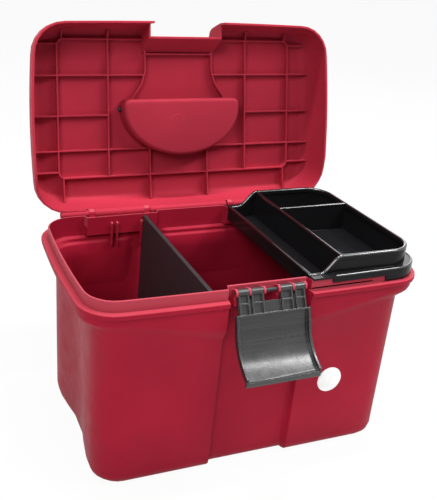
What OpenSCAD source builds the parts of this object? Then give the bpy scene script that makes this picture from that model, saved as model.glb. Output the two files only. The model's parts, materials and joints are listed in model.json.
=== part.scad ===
// Grooming box: a moulded tub with a deep ribbed lid, a front latch, a carrying handle,
// a lift-out tray and a slot-in divider. All sizes are millimetres.
// Origin: middle of the base on the ground. X to the right, Y to the hinge side, Z up.
// The box is drawn standing open: lid leaning back on its stop, latch hanging, tray seated.

/* [Tub] */
// Width of the rim flange at the corners
rim_w = 403; // [380:1:430]
// Depth of the rim flange at the corners
rim_d = 233; // [222:1:250]
// Height of the tub to the top of its lip
tub_h = 224; // [200:1:250]
// Width of the foot of the walls
base_w = 355; // [340:1:362]
// Depth of the foot of the walls
base_d = 210; // [202:1:214]
// Corner radius of the rim flange
corner_r = 40; // [36:1:46]
// Wall thickness of the tub
wall = 2.5; // [2.2:0.1:2.8]
// How far the long and short sides bow outward at the rim
side_bow = 2.5; // [1.5:0.1:3.5]
// How far the shoulder steps in below the rim band
shoulder_in = 6.5; // [5:0.5:9]
// How far the end walls step in below the rim band
end_in = 14; // [11:0.5:16]
// How far the front shoulder drops beside the latch
shoulder_dip = 20; // [12:1:24]
// Depth of the hollow panel in each end wall
end_panel = 8; // [4:0.5:9]

/* [Lid] */
// Height of the lid above its rim
lid_h = 52; // [50:1:58]
// Wall thickness of the lid
lid_wall = 2.4; // [2.2:0.1:2.6]
// Angle of the lid when it leans open on its stop
lid_open = 102; // [96:0.5:104]
// Height of the ribs inside the lid
rib_h = 8.5; // [7:0.5:10]
// Thickness of the ribs inside the lid
rib_t = 1.8; // [1.4:0.1:2.2]
// Diameter of the two hinge pins
hinge_pin_d = 5; // [4:0.2:6]

/* [Latch] */
// Width of the latch
latch_w = 80; // [76:1:84]
// Length of the ribbed arm from the pin to its shelf
latch_arm = 24.5; // [23:0.5:26]
// Radius of the hollow flap
flap_r = 55; // [50:1:60]
// Diameter of the latch pin
latch_pin_d = 4; // [3.4:0.2:4.4]
// Direction of the hanging arm, counted from the Y axis
latch_hang = 244; // [242:1:247]
// Turn of the latch from hanging to closed
latch_turn = 184; // [181:1:186]

/* [Handle] */
// Half width of the pocket for the handle
pocket_a = 77; // [76:1:84]
// Length of the pocket behind the pivot line
pocket_b = 57; // [53:1:60]
// Depth of the pocket below the lid
pocket_deep = 25; // [22:1:28]
// Width of the grip band
grip_w = 20; // [17:1:24]
// Thickness of the handle
grip_t = 12; // [10:0.5:14]
// Diameter of the pivot pegs
peg_d = 6; // [5:0.5:7]

/* [Tray] */
// Height of the tray walls above the tub lip
tray_up = 21; // [16:1:24]
// Depth of the tray floor below the tub lip
tray_down = 13; // [9:1:18]
// Wall thickness of the tray
tray_wall = 2.2; // [1.8:0.1:2.6]
// Width of the low channel on the inner side of the tray
channel_w = 39; // [38:1:48]

/* [Divider] */
// Thickness of the divider
divider_t = 4.4; // [3.6:0.2:5]
// Place of the divider left of the middle
divider_x = 67; // [62:1:72]
// Place of the spare pair of guide ribs
spare_x = 106; // [98:1:112]

/* [Hidden] */
$fn = 48;

// Running clearance of a pin in its bore, counted on the radius
run = 0.06;
// Clearance between parts that seat against each other
seat = 0.05;
// Overlap that ties one solid of a part into the next
tie = 1;
// Length of a tool that must pass right through
through = 600;

// Rim: ledge for the lid, raised lip inside it
hw = rim_w / 2;
hd = rim_d / 2;
lip_h = 12.3;
flange_t = 5;
lip_in = 7;
lip_t = 2;
ledge_z = tub_h - lip_h;
band_in = 3.2;
shoulder_z = tub_h - 26;
shoulder_tall = 14;
foot_z = 12;
floor_z = 3;

// The latch bay is as wide as the latch and its room at each side
bay_room = 6.7;
bay_half = latch_w / 2 + bay_room;
straight = hw - corner_r;

// Places along a long side, as shares of its straight half length
edge_share = 0.007;
bay_share = bay_half / straight + edge_share;
hinge_share = 0.878;
corner_steps = 6;
half_long = [hinge_share + edge_share, hinge_share - edge_share, 0.6,
             bay_share + edge_share, bay_share - edge_share, 0.15];
long_f = concat(-half_long, [0], [for (i = [len(half_long) - 1 : -1 : 0]) half_long[i]]);
end_f = [-0.8, -0.5, -0.25, 0, 0.25, 0.5, 0.8];
hinge_mid = straight * (bay_share + hinge_share) / 2;
hinge_recess = 7;
bay_y = hd - 12.5;

// Hinge, latch and handle axes with the lid closed
hinge_y = hd + 3;
hinge_z = ledge_z + 10.3;
lid_z = ledge_z + 0.3;
lid_top = lid_z + lid_h;
plate = 2.6;
plate_z = lid_top - plate;
latch_y = -(hd - 6);
latch_z = tub_h - 5.5;
handle_y = -8;
handle_z = lid_top - 11;

// Shares used by the ring of a shell
function in_bay(f) = abs(f) < bay_share ? 1 : 0;
function in_hinge(f) = abs(f) > bay_share && abs(f) < hinge_share ? 1 : 0;
function dent(f) = max(0, 1 - pow(f / 0.65, 2));
function dip_at(f) = 1 - max(0, abs(f) - bay_share) / (1 - bay_share);
function lift_at(y) = min(1, max(0, (y - hd * 0.55) / (hd * 0.3)));

// Place along a long side: the bay keeps its width at every level, the rest reaches to the corner
edge_f = bay_share + edge_share;
function place(f, sx) = abs(f) <= edge_f ? f * straight
    : sign(f) * (edge_f * straight + (abs(f) - edge_f) / (1 - edge_f) * (sx - edge_f * straight));

// One corner of a ring
function corner(cx, cy, r, a0) =
    [for (i = [0 : corner_steps]) let (a = a0 + 90 * i / corner_steps) [cx + r * cos(a), cy + r * sin(a)]];

// Level of a shell: height, inset, then what happens at the bay, hinge zones, ends, shoulder and back.
function level(z, hx, hy, r, bay = 0, recess = 0, panel = 0, dip = 0, lift = 0) =
    [z, hx, hy, r, bay, recess, panel, dip, lift];

// Plan points of one level, anticlockwise from the front right corner
function plan(v) =
    let (hx = v[1], hy = v[2], r = v[3], sx = hx - r, sy = hy - r,
         bow = side_bow * min(1, v[0] / tub_h))
    concat(
        corner(sx, -sy, r, 270),
        [for (f = end_f) [hx + bow * (1 - f * f) - v[6] * dent(f), f * sy]],
        corner(sx, sy, r, 0),
        [for (f = long_f) [-place(f, sx), hy + bow * (1 - f * f) - v[5] * in_hinge(f)]],
        corner(-sx, sy, r, 90),
        [for (f = end_f) [-hx - bow * (1 - f * f) + v[6] * dent(f), -f * sy]],
        corner(-sx, -sy, r, 180),
        [for (f = long_f) [place(f, sx), v[4] > 0 && in_bay(f) == 1 ? -v[4] : -hy - bow * (1 - f * f)]]);

function ring(v) =
    [for (p = plan(v)) [p[0], p[1], v[0] + v[8] * lift_at(p[1])
        - (p[1] < 0 && abs(p[0]) < v[1] - v[3] + 0.01 ? v[7] * dip_at(p[0] / (v[1] - v[3])) : 0)]];

// A shell from a list of levels: first level capped downward, last level capped upward
module shell(levels) {
    rings = [for (v = levels) ring(v)];
    n = len(rings[0]);
    m = len(rings);
    points = concat([for (q = rings) each q], [[0, 0, levels[0][0]], [0, 0, levels[m - 1][0]]]);
    sides = [for (i = [0 : m - 2], j = [0 : n - 1], k = [0, 1])
        let (a = i * n + j, b = i * n + (j + 1) % n)
        k == 0 ? [a, b + n, b] : [a, a + n, b + n]];
    first = [for (j = [0 : n - 1]) [n * m, j, (j + 1) % n]];
    last = [for (j = [0 : n - 1]) [n * m + 1, (m - 1) * n + (j + 1) % n, (m - 1) * n + j]];
    polyhedron(points = points, faces = concat(sides, first, last), convexity = 8);
}

// A profile in the Y Z plane, drawn out along X about the place x
module along_x(x, w) {
    translate([x, 0, 0])
        rotate([90, 0, 90])
            linear_extrude(height = w, center = true)
                children();
}

module rod_x(x, y, z, d, w) {
    translate([x, y, z])
        rotate([0, 90, 0])
            cylinder(d = d, h = w, center = true);
}

// Carries what is drawn with the lid closed to where the lid leans open
module lid_pose() {
    translate([0, hinge_y, hinge_z])
        rotate([-lid_open, 0, 0])
            translate([0, -hinge_y, -hinge_z])
                children();
}

// Tub

// Outer and inner levels of the tub, from the base up, over the lip and down to the floor
bw = base_w / 2;
bd = base_d / 2;
waist_w = hw - band_in - end_in;
waist_d = hd - band_in - shoulder_in;
low_z = shoulder_z - shoulder_tall;
bay_foot = bd - 6.5;

tub_levels = [
    level(0, bw - 10, bd - 9, corner_r - 15, bay_foot - 7),
    level(2, bw - 5, bd - 4.6, corner_r - 13, bay_foot - 4, panel = end_panel * 0.7),
    level(6, bw - 1.5, bd - 1.5, corner_r - 12, bay_foot - 1.2, panel = end_panel * 0.9),
    level(foot_z, bw, bd, corner_r - 11, bay_foot, panel = end_panel),
    level(low_z * 0.5, (bw + waist_w) / 2, (bd + waist_d) / 2, corner_r - 8, (bay_foot + bay_y) / 2,
          panel = end_panel, dip = shoulder_dip * 0.3),
    level(low_z, waist_w, waist_d, corner_r - 6, bay_y - 0.6, panel = end_panel * 0.5, dip = shoulder_dip),
    level(low_z + 4, waist_w + 1.6, waist_d + 1.6, corner_r - 5.4, bay_y - 0.5, dip = shoulder_dip),
    level(low_z + 10, hw - band_in - 1.8, hd - band_in - 1.8, corner_r - 4, bay_y - 0.4, dip = shoulder_dip),
    level(shoulder_z, hw - band_in, hd - band_in, corner_r - 3, bay_y - 0.3, dip = shoulder_dip),
    level(shoulder_z + 1, hw - band_in, hd - band_in, corner_r - 3, bay_y - 0.3, hinge_recess, dip = shoulder_dip),
    level(ledge_z - flange_t - 0.8, hw - band_in + 0.2, hd - band_in + 0.2, corner_r - 3, bay_y - 0.2, hinge_recess),
    level(ledge_z - flange_t, hw, hd, corner_r, bay_y - 0.1, hinge_recess),
    level(ledge_z - 0.6, hw, hd, corner_r, bay_y, hinge_recess),
    level(ledge_z, hw - 0.6, hd - 0.6, corner_r - 0.6, bay_y - 0.1, hinge_recess),
    level(ledge_z, hw - lip_in, hd - lip_in, corner_r - lip_in, bay_y - 0.2, hinge_recess),
    level(tub_h - 0.6, hw - lip_in - 0.3, hd - lip_in - 0.3, corner_r - lip_in, bay_y - 0.4, hinge_recess),
    level(tub_h, hw - lip_in - 0.8, hd - lip_in - 0.8, corner_r - lip_in, bay_y - 0.9, hinge_recess),
    level(tub_h, hw - lip_in - lip_t, hd - lip_in - lip_t, corner_r - lip_in - lip_t, bay_y - wall + 0.2,
          hinge_recess),
    level(ledge_z - flange_t, hw - lip_in - lip_t - 0.4, hd - lip_in - lip_t - 0.4, corner_r - lip_in - lip_t,
          bay_y - wall, hinge_recess),
    level(shoulder_z + 2.4, hw - lip_in - lip_t - 0.6, hd - lip_in - lip_t - 0.6, corner_r - lip_in - lip_t,
          bay_y - wall - 0.2, hinge_recess, dip = shoulder_dip),
    level(shoulder_z + 1, hw - lip_in - lip_t - 0.8, hd - lip_in - lip_t - 0.8, corner_r - lip_in - lip_t,
          bay_y - wall - 0.2, dip = shoulder_dip),
    level(low_z + 8, waist_w - wall + 2.6, waist_d - wall + 2.6, corner_r - 9, bay_y - wall - 0.3,
          dip = shoulder_dip),
    level(low_z - 1, waist_w - wall, waist_d - wall, corner_r - 10, bay_y - wall - 0.6,
          panel = end_panel * 0.5, dip = shoulder_dip),
    level(low_z * 0.5, (bw + waist_w) / 2 - wall, (bd + waist_d) / 2 - wall, corner_r - 11,
          (bay_foot + bay_y) / 2 - wall, panel = end_panel, dip = shoulder_dip * 0.3),
    level(foot_z + 1, bw - wall, bd - wall, corner_r - 13, bay_foot - wall, panel = end_panel),
    level(floor_z + 3, bw - wall - 4, bd - wall - 4, corner_r - 15, bay_foot - wall - 3, panel = end_panel * 0.8),
    level(floor_z, bw - wall - 10, bd - wall - 9, corner_r - 17, bay_foot - wall - 8)];

// Posts of the latch pin, standing in the bay
post_t = 2.4;
post_r = 4.4;
post_x = [8.5, 25.5, 40.5];

// Lugs of the lid hinge, two to each side
lug_t = 7;
lug_r = 5.5;
lug_off = 36;

// Guide ribs of the divider
guide_t = 2;
guide_gap = divider_t / 2 + 0.35;
guide_top = tub_h - 8;
guide_low = shoulder_z - 12;

// Long slot through the lip at the tray end
slot_from = 49;
slot_to = 128;

// The toe of each post stops the hanging latch
module latch_post(x) {
    along_x(x, post_t) {
        polygon([[-bay_y + tie, latch_z - 16], on_arm(13.5, -latch_t - 0.15), on_arm(4, -latch_t - 0.15),
                 [latch_y, latch_z], [latch_y, latch_z + post_r], [-bay_y + tie, latch_z + post_r - 3]]);
        translate([latch_y, latch_z])
            circle(r = post_r);
    }
}

module hinge_lug(x) {
    back = hd + side_bow * 0.6 - hinge_recess;
    along_x(x, lug_t) {
        polygon([[back - lip_in - lip_t + 0.4, hinge_z - 22], [back, hinge_z - 22],
                 [hinge_y + lug_r, hinge_z - 6], [hinge_y + lug_r, hinge_z],
                 [hinge_y - lug_r, hinge_z], [hinge_y - lug_r - 3, hinge_z - 5],
                 [back - lip_in - lip_t + 0.4, hinge_z - 5]]);
        translate([hinge_y, hinge_z])
            circle(r = lug_r);
    }
}

module guide_pair(x) {
    back = hd - lip_in - lip_t - hinge_recess + side_bow;
    front = hd - lip_in - lip_t + side_bow + 0.2;
    front_low = shoulder_z + 2 - shoulder_dip * dip_at(x / straight);
    for (s = [-1, 1]) {
        translate([x + s * (guide_gap + guide_t / 2) - guide_t / 2, back - 6, guide_low])
            cube([guide_t, 6 + tie, guide_top - guide_low]);
        translate([x + s * (guide_gap + guide_t / 2) - guide_t / 2, -front, front_low])
            cube([guide_t, 8, guide_top - front_low]);
    }
}

module tub() {
    color("firebrick")
        difference() {
            union() {
                shell(tub_levels);
                for (x = post_x, s = [-1, 1])
                    latch_post(s * x);
                for (s = [-1, 1], t = [-1, 1])
                    hinge_lug(s * hinge_mid + t * lug_off);
                guide_pair(-divider_x);
                guide_pair(-spare_x);
            }
            rod_x(0, latch_y, latch_z, latch_pin_d, 2 * post_x[2] + 10);
            for (s = [-1, 1])
                rod_x(s * hinge_mid, hinge_y, hinge_z, hinge_pin_d, 2 * lug_off + 20);
            translate([slot_from, -hd, ledge_z + 0.8])
                cube([slot_to - slot_from, lip_in + lip_t + 2, 2.4]);
        }
}

// Lid

lift = 7;
lid_outer = [
    level(lid_z, hw, hd, corner_r, lift = lift),
    level(lid_z + 15.5, hw, hd, corner_r, lift = 1.5),
    level(lid_z + lid_h * 0.6, hw - 3, hd - 3, corner_r - 1),
    level(lid_top - 9, hw - 5.5, hd - 5.5, corner_r - 2),
    level(lid_top - 3, hw - 9.5, hd - 9.5, corner_r - 4),
    level(lid_top, hw - 16.5, hd - 16.5, corner_r - 8)];
lid_inner = [
    level(plate_z, hw - 17, hd - 17, corner_r - 9),
    level(lid_top - 5, hw - 9.5 - lid_wall, hd - 9.5 - lid_wall, corner_r - 6),
    level(lid_top - 10, hw - 5.5 - lid_wall, hd - 5.5 - lid_wall, corner_r - 4.4),
    level(lid_z + lid_h * 0.6, hw - 3 - lid_wall, hd - 3 - lid_wall, corner_r - 3.4),
    level(lid_z + 15.5, hw - lid_wall - 0.3, hd - lid_wall - 0.3, corner_r - 2.7, lift = 1.5),
    level(lid_z, hw - lid_wall - 0.3, hd - lid_wall - 0.3, corner_r - 2.7, lift = lift)];

// Recess of the latch: its floor runs beside the closed latch arm
closed_dir = latch_hang - latch_turn;
arm_deep = 3.4;
arm_gap = 0.6;
recess_half = bay_half + 1.5;
recess_z = tub_h + 3.5;
recess_p = [latch_y + (arm_deep + arm_gap) * cos(closed_dir - 90),
            latch_z + (arm_deep + arm_gap) * sin(closed_dir - 90)];
function recess_y(z) = recess_p[0] + (z - recess_p[1]) / tan(closed_dir);

module recess_profile(shift, low) {
    polygon([[-hd - 20, low], [recess_y(recess_z) + shift, low], [recess_y(recess_z) + shift, recess_z],
             [recess_y(lid_top + 8) + shift, lid_top + 8], [-hd - 20, lid_top + 8]]);
}

// Half moon of the handle pocket, with its shoulders at the pivot line
pocket_front = 9.5;
function moon(a, b, front) = concat(
    [[-a + 9, -front], [a - 9, -front], [a - 2.5, -front + 2]],
    [for (i = [0 : 20]) let (t = 180 * i / 20) [a * cos(t), b * sin(t)]],
    [[-a + 2.5, -front + 2]]);

module moon_block(grow, z0, z1) {
    translate([0, handle_y, z0])
        linear_extrude(height = z1 - z0)
            polygon(moon(pocket_a + grow, pocket_b + grow, pocket_front + grow));
}

// Rib grid
frame_x = hw - 38;
frame_front = -(hd - 19);
frame_back = hd - 38;
frame_corner = 9;
mid_rib = 97.5;
neck_x = bay_half + 0.3;
short_x = 41;
row_y = [frame_front + 45.5, frame_front + 96.5, frame_front + 141];
rib_z = plate_z - rib_h;
rib_tall = rib_h + tie;

module rib(x0, y0, x1, y1) {
    run_len = norm([x1 - x0, y1 - y0]);
    translate([x0, y0, rib_z])
        rotate([0, 0, atan2(y1 - y0, x1 - x0)])
            translate([0, -rib_t / 2, 0])
                cube([run_len, rib_t, rib_tall]);
}

module frame_plan(grow) {
    wx = frame_x + grow;
    yf = frame_front - grow;
    yb = frame_back + grow;
    r = frame_corner + grow;
    translate([-wx + r, yf])
        square([2 * (wx - r), yb - yf]);
    translate([-wx, yf + r])
        square([2 * wx, yb - yf - 2 * r]);
    for (sx = [-1, 1], y = [yf + r, yb - r])
        translate([sx * (wx - r), y])
            circle(r = r);
}

// Gusset from the frame to the wall, in its own plane
module gusset(reach) {
    rotate([90, 0, 0])
        linear_extrude(height = rib_t, center = true)
            polygon([[-tie, rib_z], [reach, rib_z - 3], [reach, plate_z - 4], [reach - 6, plate_z + tie],
                     [-tie, plate_z + tie]]);
}

module lid_ribs() {
    translate([0, 0, rib_z])
        linear_extrude(height = rib_tall)
            difference() {
                frame_plan(rib_t / 2);
                frame_plan(-rib_t / 2);
            }
    for (s = [-1, 1]) {
        rib(s * mid_rib, frame_front, s * mid_rib, frame_back);
        rib(s * frame_x, row_y[0], s * neck_x, row_y[0]);
        rib(s * frame_x, row_y[1], s * mid_rib, row_y[1]);
        rib(s * frame_x, row_y[2], s * short_x, row_y[2]);
        rib(s * short_x, row_y[2], s * short_x, frame_back);
        rib(s * neck_x, recess_y(plate_z) - 6, s * neck_x, handle_y - 50);
        rib(s * neck_x, handle_y - 50, s * (neck_x + 5), handle_y - 33);
        rib(s * (neck_x + 5), handle_y - 33, s * (pocket_a - 9), handle_y - pocket_front);
        for (y = [frame_front + 6, row_y[0], row_y[1], row_y[2], frame_back - 8])
            translate([s * frame_x, y, 0])
                rotate([0, 0, 90 - s * 90])
                    gusset(hw - 7 - frame_x);
        for (x = [mid_rib, frame_x - 6])
            translate([s * x, frame_front, 0])
                rotate([0, 0, -90])
                    gusset(hd - 7 + frame_front);
        for (x = [short_x, frame_x - 6])
            translate([s * x, frame_back, 0])
                rotate([0, 0, 90])
                    gusset(hd - 7 - frame_back);
    }
    rib(-neck_x, recess_y(plate_z) + 2, neck_x, recess_y(plate_z) + 2);
}

// Barrel of the lid hinge, with the heel that stops the open lid
barrel_w = 2 * lug_off - lug_t - 1;
heel_y = hd + side_bow * 0.62 - hinge_recess + 0.4;

module lid_barrel(x) {
    rod_x(x, hinge_y, hinge_z, 2 * lug_r, barrel_w);
}

module lid_heel(x) {
    translate([x - barrel_w / 2 + 4, heel_y, hinge_z - 12])
        cube([barrel_w - 8, 5, 9]);
}

module lug_room(x) {
    rod_x(x, hinge_y, hinge_z, 2 * lug_r + 1.2, lug_t + 5.4);
    translate([x - lug_t / 2 - 2.7, hinge_y - 14, lid_z - 20])
        cube([lug_t + 5.4, 40, hinge_z - lid_z + 20]);
}

module lid() {
    color("indianred")
        difference() {
            union() {
                lid_pose()
                    difference() {
                        union() {
                            difference() {
                                shell(concat(lid_inner, lid_outer));
                                for (s = [-1, 1], t = [-1, 1])
                                    lug_room(s * hinge_mid + t * (lug_off + 0.6));
                            }
                            intersection() {
                                shell(lid_outer);
                                along_x(0, 2 * recess_half + 2 * lid_wall)
                                    recess_profile(lid_wall / sin(closed_dir), recess_z);
                            }
                            moon_block(lid_wall, lid_top - pocket_deep - plate, plate_z + tie);
                            lid_ribs();
                            for (s = [-1, 1])
                                lid_barrel(s * hinge_mid);
                        }
                        along_x(0, 2 * recess_half)
                            recess_profile(0, ledge_z - 10);
                        moon_block(0, lid_top - pocket_deep, lid_top + 5);
                        rod_x(0, handle_y, handle_z, peg_d + 2 * run, 2 * pocket_a + 30);
                    }
                for (s = [-1, 1])
                    lid_heel(s * hinge_mid);
            }
            for (s = [-1, 1])
                rod_x(s * hinge_mid, hinge_y, hinge_z, hinge_pin_d + 2 * run, 2 * lug_off + 20);
        }
}

// Hinge pins

pin_head = 1.6;
pin_len = 2 * lug_off + lug_t;

module hinge_pin(x) {
    rod_x(x + sign(x) * pin_head / 4, hinge_y, hinge_z, hinge_pin_d, pin_len + pin_head / 2);
    rod_x(x + sign(x) * (pin_len + pin_head) / 2, hinge_y, hinge_z, hinge_pin_d + 3, pin_head);
}

module hinge_pin_left() {
    color("gray")
        hinge_pin(-hinge_mid);
}

module hinge_pin_right() {
    color("gray")
        hinge_pin(hinge_mid);
}

// Latch

// A place on the latch: distance from the pin along the arm, height over the arm
function on_arm(s, n) = [latch_y + s * cos(latch_hang) + n * cos(latch_hang - 90),
                         latch_z + s * sin(latch_hang) + n * sin(latch_hang - 90)];

latch_t = 2.2;
flap_dir = latch_hang + 15;
flap_turn = 57;
flap_start = 13;
flap_steps = 16;
flap_from = on_arm(latch_arm, 0) + flap_start * [cos(flap_dir), sin(flap_dir)];
flap_mid = flap_from + flap_r * [cos(flap_dir - 90), sin(flap_dir - 90)];
function on_flap(i, grow) = let (a = flap_dir + 90 - flap_turn * i / flap_steps)
    flap_mid + (flap_r + grow) * [cos(a), sin(a)];
function flap_strip(low, high) = concat(
    [on_arm(latch_arm - 1, min(high, arm_deep - 0.2))],
    [for (i = [0 : flap_steps]) on_flap(i, -high)],
    [for (i = [flap_steps : -1 : 0]) on_flap(i, -low)],
    [on_arm(latch_arm - 1, low)]);

barrel_r = 4;
finger_x = [10, 24.0, 27.0, 39.0];
latch_rib = 1.6;
rib_x = [11, 23.2, 27.8, 38];
flap_half = latch_w / 2 + 3;
flange_up = 4.5;
lip_drop = 4;

module arm_box(s0, s1, n0, n1, x, w) {
    along_x(x, w)
        polygon([on_arm(s0, n0), on_arm(s1, n0), on_arm(s1, n1), on_arm(s0, n1)]);
}

module latch() {
    finger_w = finger_x[1] - finger_x[0];
    outer_w = finger_x[3] - finger_x[2];
    color("darkslategray")
        difference() {
            union() {
                arm_box(7, latch_arm, -latch_t, 0, 0, latch_w - 2);
                for (s = [-1, 1]) {
                    rod_x(s * (finger_x[0] + finger_w / 2), latch_y, latch_z, 2 * barrel_r, finger_w);
                    rod_x(s * (finger_x[2] + outer_w / 2), latch_y, latch_z, 2 * barrel_r, outer_w);
                    arm_box(0, 8, -latch_t, 0, s * (finger_x[0] + finger_w / 2), finger_w);
                    arm_box(0, 8, -latch_t, 0, s * (finger_x[2] + outer_w / 2), outer_w);
                    for (x = rib_x)
                        arm_box(1, latch_arm, -1, arm_deep - 0.6, s * x, latch_rib);
                    arm_box(11, 12.6, -1, arm_deep - 1.4, s * (finger_x[0] + finger_w / 2), finger_w - 1);
                    arm_box(11, 12.6, -1, arm_deep - 1.4, s * (finger_x[2] + outer_w / 2), outer_w - 1);
                    along_x(s * (flap_half - 1.2), 2.4)
                        polygon(flap_strip(-latch_t, flange_up));
                }
                arm_box(latch_arm - 1.8, latch_arm, -latch_t, arm_deep, 0, 2 * flap_half);
                along_x(0, 2 * flap_half)
                    polygon(flap_strip(-latch_t, 0));
                along_x(0, 2 * flap_half)
                    polygon([on_flap(flap_steps, 0), on_flap(flap_steps, latch_t),
                             on_flap(flap_steps, latch_t + lip_drop) + [-1, 0],
                             on_flap(flap_steps, latch_t + lip_drop) + [-latch_t - 1, 0],
                             on_flap(flap_steps, 0) + [-latch_t, 0.6]]);
            }
            rod_x(0, latch_y, latch_z, latch_pin_d + 2 * run, latch_w + 10);
            arm_box(-10, 11, -10, 10, 0, 2 * finger_x[0]);
        }
}

module latch_pin() {
    color("black")
        rod_x(0, latch_y, latch_z, latch_pin_d, 2 * post_x[2] + post_t);
}

// Handle

grip_gap = 4;
// The handle hangs straight down from its pegs while the lid leans back
handle_hang = lid_open - 90;
boss_w = 13;

module handle_plan(a, b) {
    polygon(concat([for (i = [0 : 28]) let (t = 180 * i / 28) [a * cos(t), b * sin(t)]],
                   [[-a, -5], [a, -5]]));
}

module handle() {
    a = pocket_a - grip_gap;
    b = pocket_b - grip_gap;
    color("black")
        lid_pose()
            translate([0, handle_y, handle_z])
                rotate([handle_hang, 0, 0]) {
                    difference() {
                        translate([0, 0, -grip_t / 2])
                            linear_extrude(height = grip_t)
                                difference() {
                                    handle_plan(a, b);
                                    handle_plan(a - boss_w, b - grip_w);
                                }
                        translate([-a - 5, -12, -grip_t])
                            cube([2 * a + 10, 12, 2 * grip_t]);
                    }
                    for (s = [-1, 1]) {
                        rod_x(s * (a - boss_w / 2), 0, 0, grip_t, boss_w);
                        rod_x(s * (a + 4), 0, 0, peg_d, 2 * grip_gap + 6);
                    }
                }
}

// Tray

tray_top = tub_h + tray_up;
tray_floor = tub_h - tray_down;
tray_left = bay_half + 2.6;
tray_right = hw - 15;
tray_front = -(hd - 11);
tray_back = hd - 16.6;
tray_r = 30;
ridge_x = tray_left + channel_w;
low_z_tray = tub_h + 2;
cross_y = 37;
flange_z = tub_h + seat;
flange_thick = 2.6;
skirt_in = 5;
skirt_t = 1.7;

// Plan of the tray: square on the inner side, round corners on the outer side
module tray_plan(in) {
    r = tray_r - in;
    x0 = tray_left + in;
    x1 = tray_right - in;
    y0 = tray_front + in;
    y1 = tray_back - in;
    translate([x0, y0])
        square([x1 - r - x0, y1 - y0]);
    translate([x0, y0 + r])
        square([x1 - x0, y1 - y0 - 2 * r]);
    for (y = [y0 + r, y1 - r])
        translate([x1 - r, y])
            circle(r = r);
}

// Outline of the rim at an inset, without the latch bay
module rim_plan(in, recess = 0) {
    polygon(plan(level(tub_h, hw - in, hd - in, corner_r - in, 0, recess)));
}

// Rise of the tray ends from the low channel to the ridge
module rise_profile() {
    span = 24;
    steps = 12;
    x0 = ridge_x - span - 2;
    polygon(concat([[tray_left - 5, low_z_tray]],
        [for (i = [0 : steps]) let (t = i / steps)
            [x0 + span * t, low_z_tray + (tray_top - low_z_tray) * t * t * (3 - 2 * t)]],
        [[x0 + span, tray_top + 5], [tray_left - 5, tray_top + 5]]));
}

module tray_flange() {
    translate([0, 0, flange_z])
        linear_extrude(height = flange_thick)
            intersection() {
                rim_plan(skirt_in, hinge_recess + 1);
                translate([tray_left, -hd - 10])
                    square([hw, 2 * hd + 5]);
            }
}

module tray_skirt(x0, low) {
    translate([0, 0, low])
        linear_extrude(height = flange_z + tie - low)
            intersection() {
                difference() {
                    rim_plan(skirt_in);
                    rim_plan(skirt_in + skirt_t);
                }
                translate([x0, -hd - 10])
                    square([hw, hd + 40]);
            }
}

module tray() {
    color("dimgray")
        difference() {
            union() {
                translate([0, 0, tray_floor - tray_wall])
                    linear_extrude(height = tray_top - tray_floor + tray_wall)
                        tray_plan(0);
                tray_flange();
                tray_skirt(ridge_x - 14, tub_h - 5);
                tray_skirt(ridge_x + 56, ledge_z + 1.2);
            }
            rotate([90, 0, 0])
                linear_extrude(height = through, center = true)
                    rise_profile();
            translate([0, 0, tray_floor])
                linear_extrude(height = through)
                    intersection() {
                        tray_plan(tray_wall);
                        translate([0, tray_front])
                            square([ridge_x - tray_wall, rim_d]);
                    }
            translate([0, 0, tray_floor])
                linear_extrude(height = through)
                    intersection() {
                        tray_plan(tray_wall);
                        union() {
                            translate([ridge_x, -hd])
                                square([hw, hd + cross_y - tray_wall / 2]);
                            translate([ridge_x, cross_y + tray_wall / 2])
                                square([hw, hd]);
                        }
                    }
            translate([ridge_x, tray_front + tray_wall, tray_top - 4])
                cube([tray_right - ridge_x - tray_wall - 1, rim_d / 2, 10]);
        }
}

// Divider

module divider() {
    low_d = bd - wall - 2.2;
    mid_d = waist_d - wall - 1;
    back_d = hd - lip_in - lip_t - hinge_recess + 0.2;
    front_d = hd - lip_in - lip_t - 1.6;
    dip_here = shoulder_dip * 0.93;
    color("dimgray")
        along_x(-divider_x, divider_t)
            polygon([[-low_d + 9, floor_z + seat], [low_d - 9, floor_z + seat], [low_d, foot_z + 4],
                     [min(mid_d, back_d), low_z - 2], [min(mid_d + 1, back_d), low_z + 6], [back_d, shoulder_z - 2],
                     [back_d, tub_h - 1.5], [-front_d, tub_h - 1.5], [-front_d, shoulder_z - dip_here + 6],
                     [-mid_d, low_z - dip_here - 3], [-low_d, foot_z + 4]]);
}

// Parts

tub();
lid();
hinge_pin_left();
hinge_pin_right();
latch();
latch_pin();
handle();
tray();
divider();
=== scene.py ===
"""Looks of the grooming box: finishes for its mouldings, small moulded details, and the studio."""

import json
import math

import bmesh
import bpy
from bpy.props import FloatProperty, FloatVectorProperty, PointerProperty
from mathutils import Matrix, Vector


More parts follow.
